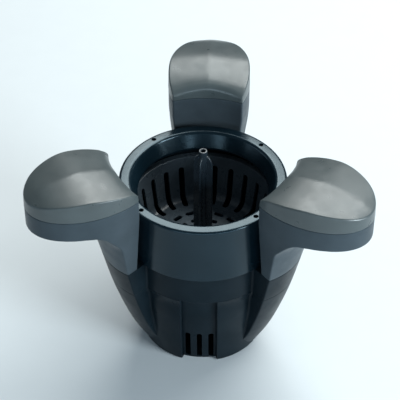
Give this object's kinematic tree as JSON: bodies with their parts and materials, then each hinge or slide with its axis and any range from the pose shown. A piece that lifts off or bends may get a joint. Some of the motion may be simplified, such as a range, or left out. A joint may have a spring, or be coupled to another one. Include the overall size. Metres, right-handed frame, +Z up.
{
  "type": "floating pond skimmer",
  "caption": "Floating pond skimmer with radial float arms, a rising weir ring, a slotted leaf basket with a lift post and a ribbed pump housing.",
  "frame": {"origin": "centre of the flat base, on the axis of the ring and basket", "axes": "+Z up along the axis of the ring; +Y towards the float that has no mirror partner; +X to the right seen from -Y, across the other two floats"},
  "size_m": [0.3906, 0.3504, 0.3008],
  "materials": {
    "float_shell": "satin moulded plastic, blue-grey black",
    "float_lid": "fine matt moulded texture, grey",
    "ring": "polished black plastic",
    "basket": "matt black plastic",
    "post": "glossy black plastic",
    "housing": "satin black plastic with a green-blue cast",
    "ring_foam": "dark closed-cell foam",
    "filter_foam": "open-cell filter foam",
    "rubber": "soft rubber",
    "steel": "stainless steel",
    "pump_case": "moulded black plastic",
    "impeller": "blue moulded plastic",
    "magnet": "ferrite in a thin coat",
    "ceramic": "polished ceramic"
  },
  "bodies": {
    "housing": {"float_body_rear": "float_shell", "float_lid_rear": "float_lid", "float_screw_rear_1": "steel", "float_screw_rear_2": "steel", "float_body_left": "float_shell", "float_lid_left": "float_lid", "float_screw_left_1": "steel", "float_screw_left_2": "steel", "float_body_right": "float_shell", "float_lid_right": "float_lid", "float_screw_right_1": "steel", "float_screw_right_2": "steel", "lower_housing": "housing", "cable_gland": "rubber", "upper_housing": "housing", "filter_deck": "housing", "filter_foam": "filter_foam", "intake_strainer": "pump_case", "pump_motor": "pump_case", "pump_cover": "pump_case", "outlet_elbow": "pump_case", "impeller_shaft": "ceramic", "shaft_bush_lower": "rubber", "shaft_bush_upper": "rubber", "cover_o_ring": "rubber", "cover_screw_1": "steel", "pump_foot_1": "rubber", "cover_screw_2": "steel", "pump_foot_2": "rubber", "cover_screw_3": "steel", "pump_foot_3": "rubber"},
    "basket": {"leaf_basket": "basket", "lift_post": "post"},
    "ring": {"floating_ring": "ring", "ring_float": "ring_foam"},
    "rotor": {"impeller": "impeller", "rotor_magnet": "magnet"}
  },
  "joints": [
    {"name": "basket_lift", "type": "slide", "parent": "housing", "child": "basket", "axis": [0, 0, 1], "range_m": [0, 0.08]},
    {"name": "ring_rise", "type": "slide", "parent": "basket", "child": "ring", "axis": [0, 0, 1], "range_m": [0, 0.02]},
    {"name": "impeller_spin", "type": "hinge", "parent": "housing", "child": "rotor", "pos_m": [0, 0, 0.06], "axis": [0, 0, 1], "continuous": true}
  ]
}
